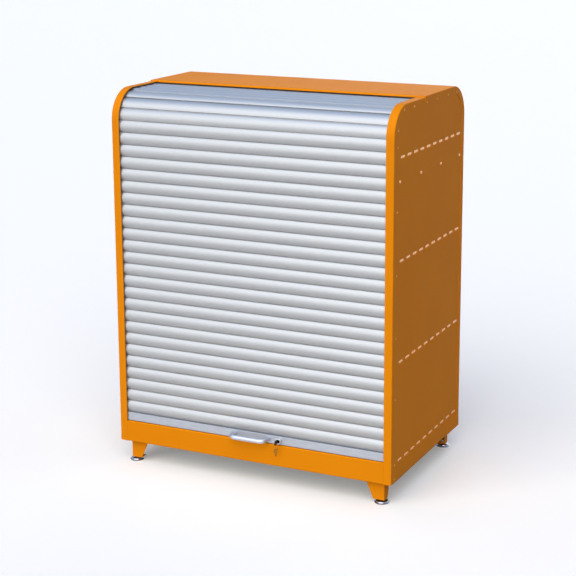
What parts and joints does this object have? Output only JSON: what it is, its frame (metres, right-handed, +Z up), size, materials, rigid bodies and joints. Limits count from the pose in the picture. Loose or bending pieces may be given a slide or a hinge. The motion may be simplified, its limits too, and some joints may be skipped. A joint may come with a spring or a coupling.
{
  "type": "hazardous materials cabinet",
  "caption": "Steel roller-shutter cabinet on levelling feet, with a slatted aluminium shutter in side tracks, a pull handle, a lock, shelves and a sump tray.",
  "frame": {"origin": "on the floor, below the middle of the casing's width and depth", "axes": "+X to the right seen from the front, +Y to the back, +Z up; the shutter faces -Y"},
  "size_m": [1.0036, 0.657, 1.28],
  "materials": {
    "casing_paint": "orange powder coat, fine satin",
    "liner_paint": "light grey powder coat",
    "zinc_plate": "zinc plated",
    "slat_aluminium": "silver anodised, satin",
    "handle_metal": "satin",
    "lock_chrome": "bright nickel",
    "key_brass": "worn nickel brass",
    "foot_chrome": "bright chrome",
    "black_bristle": "black nylon brush",
    "black_rubber": "matt black",
    "black_nylon": "moulded black nylon"
  },
  "bodies": {
    "cabinet": {"left_side_panel": "casing_paint", "right_side_panel": "casing_paint", "top_cover": "casing_paint", "back_panel": "casing_paint", "rear_corner_plates": "casing_paint", "front_plinth": "casing_paint", "sump_tray": "casing_paint", "front_left_leg": "casing_paint", "front_right_leg": "casing_paint", "rear_left_leg": "casing_paint", "rear_right_leg": "casing_paint", "side_rivets": "casing_paint", "cover_rivets": "casing_paint", "left_inner_liner": "liner_paint", "right_inner_liner": "liner_paint", "inner_back_wall": "liner_paint", "inner_ceiling": "liner_paint", "floor_pan": "liner_paint", "lower_shelf": "liner_paint", "middle_shelf": "liner_paint", "upper_shelf": "liner_paint", "left_guide_track": "zinc_plate", "right_guide_track": "zinc_plate", "left_slot_rails": "zinc_plate", "right_slot_rails": "zinc_plate", "lock_keeper": "zinc_plate", "shelf_brackets": "zinc_plate", "leg_nuts": "zinc_plate", "shelf_screws": "zinc_plate", "bend_slats": "slat_aluminium", "top_slats": "slat_aluminium", "brush_seal": "black_bristle"},
    "shutter": {"bottom_rail": "slat_aluminium", "rail_seal": "black_rubber", "rail_glides": "black_nylon", "lead_slat": "slat_aluminium", "front_slats": "slat_aluminium", "pull_handle": "handle_metal", "handle_screws": "zinc_plate", "lock_housing": "lock_chrome"},
    "lock": {"lock_plug": "lock_chrome", "lock_cam": "zinc_plate", "key": "key_brass"},
    "key_ring": {"key_ring": "zinc_plate", "spare_key": "key_brass"},
    "front_left_foot": {"front_left_foot": "foot_chrome"},
    "front_right_foot": {"front_right_foot": "foot_chrome"},
    "rear_left_foot": {"rear_left_foot": "foot_chrome"},
    "rear_right_foot": {"rear_right_foot": "foot_chrome"}
  },
  "joints": [
    {"name": "shutter_lift", "type": "slide", "parent": "cabinet", "child": "shutter", "axis": [0, 0, 1], "range_m": [0, 0.96], "deforming": ["front_slats"]},
    {"name": "lock_turn", "type": "hinge", "parent": "shutter", "child": "lock", "pos_m": [0.103, -0.317, 0.162], "axis": [0, -1, 0], "range_deg": [0, 90]},
    {"name": "key_swing", "type": "hinge", "parent": "lock", "child": "key_ring", "pos_m": [0.103, -0.331, 0.157], "axis": [1, 0, 0], "range_deg": [-90, 20]},
    {"name": "front_left_foot_screw", "type": "slide", "parent": "cabinet", "child": "front_left_foot", "axis": [0, 0, 1], "range_m": [-0.02, 0]},
    {"name": "front_right_foot_screw", "type": "slide", "parent": "cabinet", "child": "front_right_foot", "axis": [0, 0, 1], "range_m": [-0.02, 0]},
    {"name": "rear_left_foot_screw", "type": "slide", "parent": "cabinet", "child": "rear_left_foot", "axis": [0, 0, 1], "range_m": [-0.02, 0]},
    {"name": "rear_right_foot_screw", "type": "slide", "parent": "cabinet", "child": "rear_right_foot", "axis": [0, 0, 1], "range_m": [-0.02, 0]}
  ]
}
